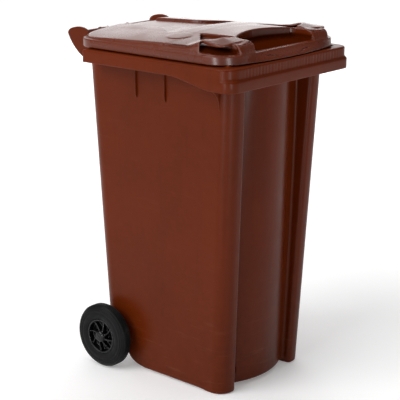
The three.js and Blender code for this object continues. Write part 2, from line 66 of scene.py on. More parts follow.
# ---------------------------------------------------------------- distance fields
def smoothstep(low, high, value):
    share = np.clip((value - low) / (high - low), 0, 1)
    return share * share * (3 - 2 * share)


def mix(a, b, share):
    return a + (b - a) * share


def join(a, b, fillet):
    """Union of two solids, with a fillet where they meet."""
    near = np.sqrt(np.maximum(fillet - a, 0) ** 2 + np.maximum(fillet - b, 0) ** 2)
    return np.maximum(fillet, np.minimum(a, b)) - near


def meet(a, b, round_off):
    """Common part of two solids, with a rounded edge."""
    return -join(-a, -b, round_off)


def cut(a, b, round_off):
    return meet(a, -b, round_off)


def slab(value, low, high):
    return np.maximum(low - value, value - high)


def plan_box(x, y, half, front, rear, front_round, rear_round):
    """Rectangle in plan that is the same left and right, with its own rounding at the front and rear."""
    middle = (front + rear) / 2
    rounding = np.where(y < middle, front_round, rear_round)
    out_x = np.abs(x) - half + rounding
    out_y = np.abs(y - middle) - (rear - front) / 2 + rounding
    outside = np.hypot(np.maximum(out_x, 0), np.maximum(out_y, 0))
    return outside + np.minimum(np.maximum(out_x, out_y), 0) - rounding


def polygon(u, v, corners):
    """Distance to a closed outline of (u, v) corners, negative inside."""
    nearest = np.full(np.broadcast(u, v).shape, 1e9)
    inside = np.zeros(nearest.shape, bool)
    for (u0, v0), (u1, v1) in zip(corners, corners[1:] + corners[:1]):
        du, dv = u1 - u0, v1 - v0
        along = np.clip(((u - u0) * du + (v - v0) * dv) / (du * du + dv * dv), 0, 1)
        nearest = np.minimum(nearest, np.hypot(u - u0 - along * du, v - v0 - along * dv))
        if dv:
            crosses = (v0 > v) != (v1 > v)
            inside ^= crosses & (u < u0 + (v - v0) * du / dv)
    return np.where(inside, -nearest, nearest)


CURVE_STEPS = 8


def curve(start, *pieces):
    """Corners along straight and cubic pieces: a piece is one end point or two handles and an end point."""
    corners = [start]
    for piece in pieces:
        if len(piece) == 2 and np.isscalar(piece[0]):
            corners.append(piece)
            continue
        points = np.array([corners[-1], *piece], float)
        for t in np.linspace(0, 1, CURVE_STEPS + 1)[1:]:
            weight = [(1 - t) ** 3, 3 * t * (1 - t) ** 2, 3 * t * t * (1 - t), t ** 3]
            corners.append(tuple(np.array(weight) @ points))
    return corners


class Block:
    """A distance field sampled on a grid, to which solids are joined and from which they are cut."""

    def __init__(self, xs, ys, zs):
        self.axes = [np.array(values, np.float32) for values in (xs, ys, zs)]
        self.field = np.full([len(values) for values in self.axes], 60, np.float32)

    def part(self, low, high):
        """Slices, and open x, y, z coordinates, of the grid between two corners."""
        slices, grids = [], []
        for axis, values in enumerate(self.axes):
            inside = np.nonzero((values >= low[axis]) & (values <= high[axis]))[0]
            slices.append(slice(inside[0], inside[-1] + 1))
            shape = [1, 1, 1]
            shape[axis] = len(inside)
            grids.append(values[slices[-1]].reshape(shape))
        return tuple(slices), grids

    def change(self, how, solid, low, high, rounding):
        slices, grids = self.part(low, high)
        self.field[slices] = how(self.field[slices], solid(*grids), rounding)

    def add(self, solid, low, high, fillet=3.0):
        self.change(join, solid, low, high, fillet)

    def remove(self, solid, low, high, rounding=2.0):
        self.change(cut, solid, low, high, rounding)

    def surface(self):
        """Points and quads of the surface, with one point in each grid cell that it crosses."""
        cells = [len(values) - 1 for values in self.axes]
        inside = self.field < 0
        corner_cells, corner_points = [], []
        for axis in range(3):
            others = [k for k in range(3) if k != axis]
            lower, upper = [slice(None)] * 3, [slice(None)] * 3
            lower[axis], upper[axis] = slice(0, -1), slice(1, None)
            crossed = inside[tuple(lower)] != inside[tuple(upper)]
            place = np.stack(np.nonzero(crossed), axis=1)
            before = self.field[tuple(lower)][crossed]
            after = self.field[tuple(upper)][crossed]
            point = np.stack([self.axes[k][place[:, k]] for k in range(3)], axis=1).astype(float)
            step = self.axes[axis][place[:, axis] + 1] - self.axes[axis][place[:, axis]]
            point[:, axis] += step * before / (before - after)
            around = []
            for du, dv in ((-1, -1), (0, -1), (0, 0), (-1, 0)):
                cell = place.copy()
                cell[:, others[0]] += du
                cell[:, others[1]] += dv
                around.append(np.ravel_multi_index(cell.T, cells))
            around = np.stack(around, axis=1)
            turned = (before > 0) != (axis == 1)
            around[turned] = around[turned][:, ::-1]
            corner_cells.append(around)
            corner_points.append(np.repeat(point[:, None], 4, axis=1))
        corner_cells = np.concatenate(corner_cells)
        corner_points = np.concatenate(corner_points).reshape(-1, 3)
        used, quads = np.unique(corner_cells, return_inverse=True)
        quads = quads.reshape(-1, 4)
        count = np.bincount(quads.ravel(), minlength=len(used))
        sums = [np.bincount(quads.ravel(), corner_points[:, k], len(used)) for k in range(3)]
        return np.stack(sums, axis=1) / count[:, None], quads


def spaced(*stops):
    """Grid positions from (start, step), (start, step), ... to a last end."""
    values = []
    for (start, step), following in zip(stops, stops[1:]):
        end = following[0] if isinstance(following, tuple) else following
        values.extend(np.linspace(start, end, max(2, round((end - start) / step) + 1))[:-1])
    return values + [stops[-1]]


# ---------------------------------------------------------------- meshes
def mesh_object(name, points, faces):
    """Smooth object from points in millimetres and the corner numbers of each face."""
    mesh = bpy.data.meshes.new(name)
    corners = faces.tolist() if isinstance(faces, np.ndarray) else faces
    mesh.from_pydata(((np.asarray(points, float) + ORIGIN) * MM).tolist(), [], corners)
    mesh.polygons.foreach_set("use_smooth", [True] * len(mesh.polygons))
    mesh.update()
    thing = bpy.data.objects.new(name, mesh)
    bpy.context.scene.collection.objects.link(thing)
    return thing


def thin_out(thing, ratio, keep_from=None, keep_to=None):
    """Fewer triangles, except between two heights in millimetres."""
    modifier = thing.modifiers.new("fewer", "DECIMATE")
    modifier.ratio = ratio
    if keep_from is not None:
        group = thing.vertex_groups.new(name="dense")
        heights = np.empty(len(thing.data.vertices) * 3, np.float32)
        thing.data.vertices.foreach_get("co", heights)
        heights = heights[2::3] / MM
        dense = np.nonzero((heights < keep_from) | (heights > keep_to))[0]
        group.add(dense.tolist(), 1.0, "REPLACE")
        modifier.vertex_group = group.name
    apply_modifiers(thing)
    thing.vertex_groups.clear()


def apply_modifiers(thing):
    bpy.context.view_layer.update()
    evaluated = thing.evaluated_get(bpy.context.evaluated_depsgraph_get())
    mesh = bpy.data.meshes.new_from_object(evaluated)
    thing.modifiers.clear()
    thing.data = mesh


def lathe(name, profile, centre, segments=72):
    """Closed (radius, x) profile turned about the X direction through centre."""
    profile = np.array(profile, float)
    turn = np.linspace(0, 2 * math.pi, segments, endpoint=False)
    radius, along = profile[:, 0], profile[:, 1]
    points = np.stack([
        np.broadcast_to(along + centre[0], (segments, len(profile))),
        centre[1] + np.outer(np.cos(turn), radius),
        centre[2] + np.outer(np.sin(turn), radius)], axis=2).reshape(-1, 3)
    faces = []
    count = len(profile)
    for i in range(segments):
        here, there = i * count, ((i + 1) % segments) * count
        for j in range(count):
            k = (j + 1) % count
            faces.append((here + j, there + j, there + k, here + k))
    thing = mesh_object(name, points, faces)
    bpy.context.view_layer.objects.active = thing
    thing.select_set(True)
    bpy.ops.object.mode_set(mode="EDIT")
    bpy.ops.mesh.select_all(action="SELECT")
    bpy.ops.mesh.remove_doubles(threshold=1e-6)
    bpy.ops.mesh.normals_make_consistent(inside=False)
    bpy.ops.object.mode_set(mode="OBJECT")
    thing.select_set(False)
    return thing


def softened(corners, radius=1.0, steps=3):
    """A closed profile with each corner rounded off."""
    corners = [np.array(corner, float) for corner in corners]
    result = []
    for before, corner, after in zip(corners[-1:] + corners[:-1], corners, corners[1:] + corners[:1]):
        if corner[0] < 1e-6:
            result.append(tuple(corner))
            continue
        back, ahead = before - corner, after - corner
        reach = min(radius, np.linalg.norm(back) * 0.45, np.linalg.norm(ahead) * 0.45)
        start = corner + back / np.linalg.norm(back) * reach
        end = corner + ahead / np.linalg.norm(ahead) * reach
        for t in np.linspace(0, 1, steps + 1):
            result.append(tuple((1 - t) ** 2 * start + 2 * t * (1 - t) * corner + t * t * end))
    return result


def plate(outline, thickness, across, bevel=0.8):
    """Bevelled flat plate: outline holds points in millimetres, and across is the direction through it."""
    form = bmesh.new()
    half = Vector(across) * thickness / 2
    front = [form.verts.new(Vector(point) - half) for point in outline]
    back = [form.verts.new(Vector(point) + half) for point in outline]
    form.faces.new(front)
    form.faces.new(back[::-1])
    for i in range(len(outline)):
        j = (i + 1) % len(outline)
        form.faces.new((front[i], back[i], back[j], front[j]))
    bmesh.ops.recalc_face_normals(form, faces=form.faces)
    bmesh.ops.bevel(form, geom=form.edges[:], offset=bevel, segments=2, affect="EDGES", profile=0.5)
    form.verts.index_update()
    points = [tuple(vert.co) for vert in form.verts]
    faces = [[vert.index for vert in face.verts] for face in form.faces]
    form.free()
    return points, faces


def combined(name, *parts):
    """One object from several (points, faces) meshes."""
    points, faces = [], []
    for more_points, more_faces in parts:
        start = len(points)
        points.extend([tuple(point) for point in np.asarray(more_points, float)])
        faces.extend([[start + corner for corner in face] for face in more_faces])
    return mesh_object(name, points, faces)


# ---------------------------------------------------------------- tub
WALL, THICK_WALL = 4.5, 7.2
TUB_TOP = 940.0
TUB_LOW = dict(half=198.5, front=88, rear=559, column=133, radius=250, crown=84)
TUB_HIGH = dict(half=225.5, front=42.5, rear=605.5, column=155, radius=150, crown=46)
TUB_FLOOR = 26
PANEL_HALF = 112
RIM_TOP = 1000.0
RIM_REAR = 554.0
RIM_SKIRT = 4.0
BAND_TOP = 967.0
GRIP_RADIUS = 12.0
EAR_REAR = 715.0
STEP_FRONT, STEP_HEIGHT = 474, 145
PIN_BORE, AXLE_BORE = 6.4, 10.4
THICK_FROM, THICK_TO = (110, 150), (900, 860)       # heights over which the wall thickens and thins again
FLOOR_WEDGE = [(425, 0), (425, 26), (467, 50), (480, 50), (480, 0)]
BOTTOM_FRONT, BOTTOM_SIDE = 934, 962                # lower edge of the rim in front and along the sides
SWEEP = (48, 232)                                   # where that edge rises
FINE_RIB_PITCH, FINE_RIB_DEPTH = 14.5, 0.7
COMB_PITCH, COMB_HALF = 44, 2.1
SIDE_RIBS, SIDE_RIB_FIRST, SIDE_RIB_PITCH = 6, 120, 75
STRIP_PLACES, GUSSET_PLACE = (285, 397), 87


def tub_plan(x, y, z):
    """Distance to the tub's outline at height z: corner columns and a crowned panel between them."""
    at = {key: mix(TUB_LOW[key], TUB_HIGH[key], z / TUB_TOP) for key in TUB_LOW}
    depth = at["radius"] * (1 - np.sqrt(1 - (PANEL_HALF / at["radius"]) ** 2))
    channel = at["crown"] + depth + 3
    main = plan_box(x, y, at["half"], at["front"], at["rear"], 45, 50)
    opening = meet(np.abs(x) - at["column"], y - channel, 9)
    disc = np.hypot(x, y - at["crown"] - at["radius"]) - at["radius"]
    panel = meet(disc, np.abs(x) - PANEL_HALF, 5)
    return join(cut(main, opening, 14), panel, 7)


def axle_bay(y, z):
    corners = curve((STEP_FRONT, -60), (STEP_FRONT, 115), ((474, 131.6), (487.4, 145), (504, 145)),
                    (1000, STEP_HEIGHT), (1000, -60))
    return polygon(y, z, corners)


def underside(y, z):
    corners = curve((160, -60), (160, 0), ((170, 3), (190, 4), (220, 4)), (400, 6),
                    ((440, 9), (464, 22), (475, 52)), (480, 115), (480, -60))
    return polygon(y, z, corners)


def ear_outline():
    return curve((600.5, 938), ((655, 944), (693, 973), (EAR_REAR, 1020)),
                 ((716, 1033), (699, 1039), (677, 1043)), ((657, 1046), (640, 1044), (628, 1035)),
                 (615, 1017), (615, 990), (600.5, 990))


def lug_outline():
    y, z = HINGE_Y, HINGE_Z
    return curve((600.5, 938), ((640, 940), (684, 966), (y + 14.3, z - 4.4)),
                 ((y + 17, z + 9), (y + 9, z + 15), (y, z + 15)), (y - 25, 998), (600.5, 998))


def tub_block():
    block = Block(
        spaced((-291, 3), (-51, 4), (51, 3), 291),
        spaced((-9, 2.5), (136, 6), (466, 3), (634, 2.6), 719),
        spaced((-4, 3), (56, 4), (152, 14), (180, 45), (854, 5), (929, 2.4), 1049))
    span_low, span_high = (-300, -20, -20), (300, 800, 1100)

    def shell(x, y, z):
        plan = tub_plan(x, y, z)
        body = meet(plan, z - RIM_TOP, 2)
        middle = np.maximum(np.maximum(np.abs(x) - 132, y - 161), z - 10)
        ground = join(join(axle_bay(y, z), underside(y, z), 1), middle, 2)
        body = meet(cut(body, ground, 6), -z, 5)
        return body

    block.add(shell, span_low, span_high, 0.1)

    def rim(x, y, z):
        wave = FINE_RIB_DEPTH * np.cos(x * 2 * math.pi / FINE_RIB_PITCH)
        fine = wave * smoothstep(232, 220, np.abs(x)) * (y < 60)
        fine = fine * smoothstep(968, 972, z) * smoothstep(998, 992, z)
        upper = meet(plan_box(x, y, RIM_HALF, 0, RIM_REAR, 45, 6) + fine + 0.3, z - RIM_TOP, 5)
        proud = plan_box(x, y, RIM_HALF, -RIM_PROUD, RIM_REAR, 38, 6)
        lower = meet(proud, (z - BAND_TOP + 0.9 * (proud + 2.5)) * 0.75, 1.5)
        outer = join(upper, lower, 1.5)
        hollow = np.minimum(
            np.maximum(plan_box(x, y, RIM_HALF, 0, RIM_REAR, 45, 6) + RIM_SKIRT, z - 994),
            np.maximum(plan_box(x, y, RIM_HALF, -RIM_PROUD, RIM_REAR, 38, 6) + RIM_SKIRT, z - BAND_TOP + 4))
        bottom = mix(BOTTOM_FRONT, BOTTOM_SIDE, smoothstep(*SWEEP, y))
        return meet(cut(outer, hollow, 1.5), bottom - z, 2)

    block.add(rim, (-300, -20, 926), (300, 562, 1010), 2.5)

    def comb(x, y, z):
        across = np.abs(x - COMB_PITCH * np.round(x / COMB_PITCH)) - COMB_HALF
        keep = meet(plan_box(x, y, RIM_HALF, 1, RIM_REAR, 38, 6), z - 996, 1)
        reach = np.maximum(y - 100, np.maximum(938 - z, np.abs(x) - 224))
        return np.maximum(np.maximum(across, keep), reach)

    block.add(comb, (-232, -20, 926), (232, 110, 1010), 1.5)

    def ear(x, y, z):
        return meet(polygon(y, z, ear_outline()), np.abs(np.abs(x) - 185) - 4, 3)

    def lugs(x, y, z):
        side = np.abs(x)
        plates = np.minimum(np.abs(side - 26.5) - 2.6, np.abs(side - 61) - 4)
        return meet(polygon(y, z, lug_outline()), plates, 1.6)

    def grips(x, y, z):
        along = np.abs(np.abs(x) - 121.5) - 60.5
        round_bar = np.hypot(y - HINGE_Y, z - HINGE_Z) - GRIP_RADIUS
        return np.maximum(round_bar, along)

    rear_low, rear_high = (-200, 590, 900), (200, 720, 1060)
    block.add(ear, rear_low, rear_high, 4)
    block.add(lugs, rear_low, rear_high, 3)
    block.add(grips, rear_low, rear_high, 4)

    def axle_lugs(x, y, z):
        side = np.abs(x)
        plates = np.minimum(np.abs(side - 65) - 5, np.abs(side - 188) - 6)
        corners = [(472, 70), (513, 82), (518, 79), (530, 79), (540, 85), (546, 98), (546, 150), (472, 150)]
        return meet(polygon(y, z, corners), plates, 2)

    block.add(axle_lugs, (-205, 460, 60), (205, 560, 160), 4)

    def cavity(x, y, z):
        bay = join(axle_bay(y, z) - WALL, polygon(y, z, FLOOR_WEDGE), 4)
        thick = mix(WALL, THICK_WALL, smoothstep(*THICK_FROM, z) * smoothstep(*THICK_TO, z))
        space = meet(tub_plan(x, y, z) + thick, TUB_FLOOR - z, 14)
        return cut(space, bay, 10)

    block.remove(cavity, span_low, span_high, 1.2)

    def bores(x, y, z):
        pin = np.maximum(np.hypot(y - HINGE_Y, z - HINGE_Z) - PIN_BORE, np.abs(np.abs(x) - 44.5) - 22.9)
        return np.minimum(pin, np.hypot(y - WHEEL[1], z - WHEEL[2]) - AXLE_BORE)

    block.remove(bores, rear_low, rear_high, 0.5)
    block.remove(bores, (-205, 460, 60), (205, 560, 160), 0.5)
    return block


def rim_plates():
    """Thin ribs under the side rim, slim strips down the sides and the gussets behind the front corners."""
    plates = []

    def within_wall(z):
        return TUB_LOW["half"] + (TUB_HIGH["half"] - TUB_LOW["half"]) * z / TUB_TOP - WALL / 2

    def add(side, y, outer, thick, bevel):
        high, low = outer[-1][1], outer[0][1]
        shape = [(within_wall(high), high), (within_wall(low), low)] + outer
        plates.append(plate([(side * u, y, w) for u, w in shape], thick, (0, 1, 0), bevel))

    for side in (-1, 1):
        for number in range(SIDE_RIBS):
            y = SIDE_RIB_FIRST + SIDE_RIB_PITCH * number
            low = float(mix(BOTTOM_FRONT, BOTTOM_SIDE, smoothstep(*SWEEP, y))) + 3
            add(side, y, [(RIM_HALF - 3, low), (RIM_HALF - 3, 996)], 3, 0.7)
        for y in STRIP_PLACES:
            add(side, y, [(226, 868), (230, 876), (231.5, 888), (231.5, 996)], 2.6, 0.8)
        corner = [(224, 868), (227, 892), (236, 910), (250, 924), (268, 934), (284, 940), (284, 944)]
        add(side, GUSSET_PLACE, corner, 3.4, 0.9)
    return plates


# ---------------------------------------------------------------- lid
LID_HALF, LID_FRONT, LID_REAR = 273.0, 22.0, 612.0
LID_BOTTOM, LIP_TOP, LID_TOP = 1003.0, 1028.0, 1068.0
LID_WALL = 3.5
CORNER_ROUND = 84
POCKET_HALF, POCKET_FLOOR = 138, 1031
TOP_SINK = 1.2                          # the visual top lies this far inside the lid's full height
SIDE_FALL, REAR_FALL, CORNER_LIFT = 15, 15, 13
PLATE_STEP = 1.6
LIP_HOLLOW, LIP_SLOPE = 9, 24           # how far the lip's upper edge bows in, and its lower edge leads it
HAND_FLOOR = ([6, 44, 80, 120], [1029.5, 1039.5, 1043.5, 1045])     # height by distance in from the outline
PILLAR_OUTER, PILLAR_REAR = 208, 97
PILLAR_DRAWN = ([1003, 1032, 1043, 1049, 1053, 1057, 1059.5, 1061.5, 1064],
                [0, 1, 4, 7, 11, 17, 23, 32, 50])
BAR_MIDDLE, BAR_LEAN, BAR_HALF = 1057.0, 0.17, 3.9
SHOULDER = ([1020, 1028, 1033, 1040, 1047, 1058, 1070], [6, 6.5, 8, 10.5, 14, 23, 38])


def crown(x, y):
    """Height of the lid's top surface, which falls to the sides and the rear and lifts at the hand bars."""
    rear = np.maximum(0, (y - 130) / 450) ** 1.5
    lift = CORNER_LIFT * smoothstep(185, 235, np.abs(x)) * (1 - smoothstep(130, 190, y))
    plate_edge = PLATE_STEP * smoothstep(236, 262, y) * (1 - smoothstep(120, 150, np.abs(x)) * 0.4)
    fallen = LID_TOP - SIDE_FALL * (np.abs(x) / 215) ** 2 - REAR_FALL * rear
    return fallen + lift - TOP_SINK + plate_edge * 0.7


def lid_plan(x, y, z=LID_TOP):
    """Lid outline in plan: straight sides, large corners and a lip that slopes forward to its lower edge."""
    middle = np.maximum(0, 1 - (x / 189) ** 2) * (1 - smoothstep(60, 200, y))
    forward = (LIP_SLOPE * middle + 3) * (1 - smoothstep(90, 160, y)) * smoothstep(1030, 1001, z)
    bowed = y - LIP_HOLLOW * middle + forward
    return plan_box(x, bowed, LID_HALF, LID_FRONT, LID_REAR, CORNER_ROUND, CORNER_ROUND)


def valley_edge(x, y):
    """Distance to the outline of the shallow valley, which flares towards the front and ends in a curve."""
    half = 84 + 90 * smoothstep(460, 300, y) ** 1.5
    side = (np.abs(x) - half) * 0.88
    front = 302 + 0.0012 * x ** 2 - y
    return meet(side, front, 30)


def pocket_edge(x, y):
    rear = 142 - 32 * (x / 124) ** 2
    return meet(np.abs(x) - POCKET_HALF, (y - rear) * 0.92, 13)


HAND_OUTLINE = [(330, -40), (208, -40), (208, 60), (198, 80), (172, 92), (142, 100), (128, 114), (125, 132),
                (125, 226), (132, 232), (274, 117), (330, 72)]
BAR_OUTER = curve((-205, 190), ((-222, 166), (-234, 148), (-243, 120)),
                  ((-250, 98), (-256, 62), (-226, 56)), ((-214, 53), (-190, 55), (-144, 58)))
BAR_INNER = curve((-144, 97), ((-172, 98), (-192, 108), (-204, 122)), ((-212, 132), (-213, 148), (-190, 186)))


def hand_edge(x, y):
    """Distance to the plan of a hand hold: a recess around the corner that opens inward behind the bar."""
    return polygon(np.abs(x) + 0 * y, y + 0 * x, HAND_OUTLINE)


def hand_bar(x, y, z):
    """Flat ribbon over a corner, which leans down outward and ends at the slanting rear of the hand hold."""
    edge = polygon(-np.abs(x) + 0 * y, y + 0 * x, BAR_OUTER + BAR_INNER)
    middle = BAR_MIDDLE - (lid_plan(x, y) + 41) * BAR_LEAN
    middle = mix(middle, crown(x, y) - 2.5, smoothstep(105, 158, y))
    ribbon = meet(edge, np.abs(z - middle) - BAR_HALF, 3.6)
    behind = (y - 238 + 0.81 * (np.abs(x) - 125)) * 0.777 - 5
    return meet(ribbon, behind, 3)


def pillar(x, y, z):
    """Rounded block between the front recess and a hand hold, which rises straight from the lip."""
    drawn = np.interp(z, *PILLAR_DRAWN)
    side = slab(np.abs(x), POCKET_HALF, PILLAR_OUTER)
    outer = meet((lid_plan(x, y) + drawn) * 0.9, side, 5)
    return meet(outer, np.maximum(y - PILLAR_REAR, z - crown(x, y)), 4)


def lid_block():
    block = Block(
        spaced((-276, 2.6), (-120, 3.2), (120, 2.6), 276),
        spaced((2, 2.4), (170, 4.5), (575, 2.4), (635, 3), (671, 2.2), 716),
        spaced((998, 1.8), 1076))
    everywhere = ((-300, 0, 980), (300, 800, 1100))

    def form(x, y, z):
        plan = lid_plan(x, y)
        lip = meet(lid_plan(x, y, z) * 0.85, z - LIP_TOP, 2.2)
        rear_corner = smoothstep(200, 262, np.abs(x)) * smoothstep(500, 590, y)
        drawn = np.interp(z, *SHOULDER) + 8 * rear_corner * smoothstep(1026, 1040, z)
        upper = meet((plan + drawn) * 0.88, z - crown(x, y), 9)
        solid = join(lip, upper, 2.5)
        drop = 7.5 * smoothstep(300, 380, y) + 2
        valley = meet(valley_edge(x, y), crown(x, y) - drop - z, 5)
        solid = cut(solid, valley, 4.5)
        pocket = meet(pocket_edge(x, y), POCKET_FLOOR - z, 9)
        solid = cut(solid, pocket, 3.5)
        floor = np.interp(-plan, *HAND_FLOOR)
        hand = meet(hand_edge(x, y), floor - z, 5)
        return join(cut(solid, hand, 3), np.maximum(pillar(x, y, z), LIP_TOP - 8 - z), 2)

    def shell(x, y, z):
        solid = form(x, y, z)
        return meet(cut(solid, solid + LID_WALL, 0.3), LID_BOTTOM - z, 1.2)

    block.add(shell, *everywhere, 0.1)
    block.add(hand_bar, (-276, 17, 1040), (276, 200, 1076), 3)

    def disc(x, y, z):
        oval = (np.hypot((x + 177) / 34, (y - 274) / 38) - 1) * 36
        return meet(oval, np.abs(z - crown(x, y)) - 1.3, 1.2)

    block.add(disc, (-225, 225, 1040), (-130, 325, 1068), 1.2)

    def arms(x, y, z):
        side = np.abs(np.abs(x) - 43) - 12.7
        low, high = HINGE_Z - 13.8, HINGE_Z + 13.8
        corners = curve((590, 1003), (695, low), ((712, low), (712, high), (HINGE_Y, high)),
                        ((670, high + 1), (630, 1031), (590, 1034)))
        return meet(polygon(y, z, corners), side, 3)

    block.add(arms, (-70, 585, 998), (70, 716, 1045), 5)

    def inside(x, y, z):
        return np.maximum(form(x, y, z) + LID_WALL, 0 * z + (y - 640))

    def bore(x, y, z):
        return np.maximum(np.hypot(y - HINGE_Y, z - HINGE_Z) - PIN_BORE, np.abs(x) - 80)

    block.remove(inside, (-70, 560, 998), (70, 640, 1045), 0.5)
    block.remove(bore, (-80, 660, 998), (80, 716, 1045), 0.8)
    return block


# ---------------------------------------------------------------- wheels
RIM_RADIUS = 55.0
HUB_HALF, HUB_BOSS, BARREL = 20.0, 18.0, 49.0
HUB_IN, HUB_OUT = 220.0, 264.0
SPOKES = 8
# Closed (radius, distance along X) profiles of the small turned pieces.
SLEEVE = [(10.4, 194.35), (15, 194.35), (15, 196), (14.2, 197), (14.2, 217), (15, 218), (15, 219.65),
          (10.4, 219.65)]
LOCK_RING = [(10.4, 265.4), (12.5, 264.9), (15, 264.4), (15, 265.2), (12.8, 265.9), (10.4, 266.4)]
PIN = [(0, 19.3), (5.5, 19.3), (9, 20.6), (9, 23.6), (6, 23.6), (6, 64.2), (4.2, 66.9), (0, 66.9)]
ROD = [(0, -268), (10, -268), (10, 268), (0, 268)]


def tyre_profile():
    """Solid rubber tyre: flat sidewalls with a raised band, stepped shoulders and grooves in the tread."""
    inner = RIM_RADIUS + 0.35
    half = [(inner, -18.5), (inner + 1.5, -20), (61, -20.6), (63, -21.4), (72, -22), (74, -21.3), (78, -21.2),
            (80, -21.8), (83.5, -21.6), (84.3, -20.6), (86, -20.4), (87, -21.1), (89, -20.6), (89.8, -19.3),
            (91.2, -18.6), (92.4, -18.9), (94.4, -17.3), (95, -15.6), (96.3, -14.4), (97.6, -13.6), (99, -11),
            (99.4, -9.6)]
    tread = []
    for at in (-8.1, -2.7, 2.7, 8.1):
        tread += [(99.8, at - 1.7), (98.9, at - 1.2), (97.4, at - 0.8), (97.4, at + 0.8), (98.9, at + 1.2),
                  (99.8, at + 1.7)]
    return half + tread + [(r, -at) for r, at in reversed(half)]


def hub_block():
    """The right hub about its own middle: rim ring, swirled spokes, deep pockets and a centre boss."""
    step = 1.35
    block = Block(spaced((-26, step), 23), spaced((-58, step), 58), spaced((-58, step), 58))

    def hub(x, y, z):
        radius = np.hypot(y, z)
        along = np.abs(x)
        wall = np.abs(radius - (BARREL + RIM_RADIUS) / 2) - (RIM_RADIUS - BARREL) / 2
        ring = meet(wall, along - HUB_HALF, 1.6)
        angle = np.arctan2(z, y) + 0.010 * (radius - 18)
        sector = 2 * math.pi / SPOKES
        within = (np.mod(angle, sector) - sector / 2) * radius
        web = meet(np.maximum(radius - BARREL - 2, 8 - radius), np.abs(x + 1) - 2, 0.5)
        depth = along - mix(18.5, 14.5, smoothstep(16, 46, radius))
        spoke = meet(np.abs(within) - 2.6, np.maximum(depth, radius - BARREL - 2), 1.6)
        boss = meet(radius - HUB_BOSS, slab(x, HUB_IN - WHEEL[0], HUB_OUT - WHEEL[0]), 2)
        solid = join(join(ring, web, 4), spoke, 3)
        solid = join(solid, boss, 3)
        return cut(solid, radius - AXLE_BORE, 0.8)

    block.add(hub, (-99, -99, -99), (99, 99, 99), 0.1)
    return block


def cap_profile():
    start = HUB_OUT + 0.35
    outline = [(15.7, start), (17.9, start), (17.9, start + 3), (16.6, start + 4.6), (14, start + 6.4),
               (9, start + 7.6), (7.6, start + 7.1), (4, start + 7.6), (0, start + 8.3), (0, start + 6.2),
               (8, start + 5.6), (13, start + 4.8), (15.7, start + 3)]
    return softened(outline, 0.6, 2)


# ---------------------------------------------------------------- materials
class Finish:
    """A node material, with short calls for the nodes that it is made of."""

    def __init__(self, name):
        self.material = bpy.data.materials.new(name)
        self.material.use_nodes = True
        self.tree = self.material.node_tree
        self.shader = self.tree.nodes["Principled BSDF"]
        self.place = self.node("ShaderNodeTexCoord").outputs["Object"]

    def node(self, kind, **settings):
        made = self.tree.nodes.new(kind)
        for key, value in settings.items():
            setattr(made, key, value)
        return made

    def put(self, socket, value):
        if isinstance(value, bpy.types.NodeSocket):
            self.tree.links.new(value, socket)
        else:
            socket.default_value = value

    def noise(self, scale, detail=4.0, roughness=0.5, stretch=None):
        place = self.place
        if stretch:
            mapping = self.node("ShaderNodeMapping")
            self.put(mapping.inputs["Vector"], place)
            mapping.inputs["Scale"].default_value = stretch
            mapping.inputs["Rotation"].default_value = (0.3, 0.2, 0.5)
            place = mapping.outputs["Vector"]
        made = self.node("ShaderNodeTexNoise")
        self.put(made.inputs["Vector"], place)
        for key, value in (("Scale", scale), ("Detail", detail), ("Roughness", roughness)):
            made.inputs[key].default_value = value
        return made.outputs["Fac"]

    def span(self, value, low, high, start=0.0, end=1.0):
        made = self.node("ShaderNodeMapRange", interpolation_type="SMOOTHSTEP")
        for key, setting in (("Value", value), ("From Min", low), ("From Max", high), ("To Min", start),
                             ("To Max", end)):
            self.put(made.inputs[key], setting)
        return made.outputs["Result"]

    def combine(self, kind, a, b):
        made = self.node("ShaderNodeMath", operation=kind)
        self.put(made.inputs[0], a)
        self.put(made.inputs[1], b)
        return made.outputs["Value"]

    def blend(self, share, a, b):
        made = self.node("ShaderNodeMix", data_type="RGBA")
        self.put(made.inputs["Factor"], share)
        self.put(made.inputs[6], a)
        self.put(made.inputs[7], b)
        return made.outputs[2]

    def height(self):
        split = self.node("ShaderNodeSeparateXYZ")
        self.put(split.inputs["Vector"], self.place)
        return split.outputs["Z"]

    def wear(self, scale, most):
        """Patchy share of wear along the convex edges."""
        edges = self.span(self.node("ShaderNodeNewGeometry").outputs["Pointiness"], 0.53, 0.62)
        return self.combine("MULTIPLY", edges, self.span(self.noise(scale, 5), 0.4, 0.65, 0, most))

    def bump(self, *layers):
        """Bumps laid over each other, each a (height, strength, distance in metres)."""
        normal = None
        for height, strength, distance in layers:
            made = self.node("ShaderNodeBump")
            self.put(made.inputs["Height"], height)
            made.inputs["Strength"].default_value = strength
            made.inputs["Distance"].default_value = distance
            if normal is not None:
                self.put(made.inputs["Normal"], normal)
            normal = made.outputs["Normal"]
        self.put(self.shader.inputs["Normal"], normal)


def tint(red, green, blue):
    """Linear colour of an 8-bit screen colour."""
    return tuple((value / 255) ** 2.2 for value in (red, green, blue)) + (1.0,)


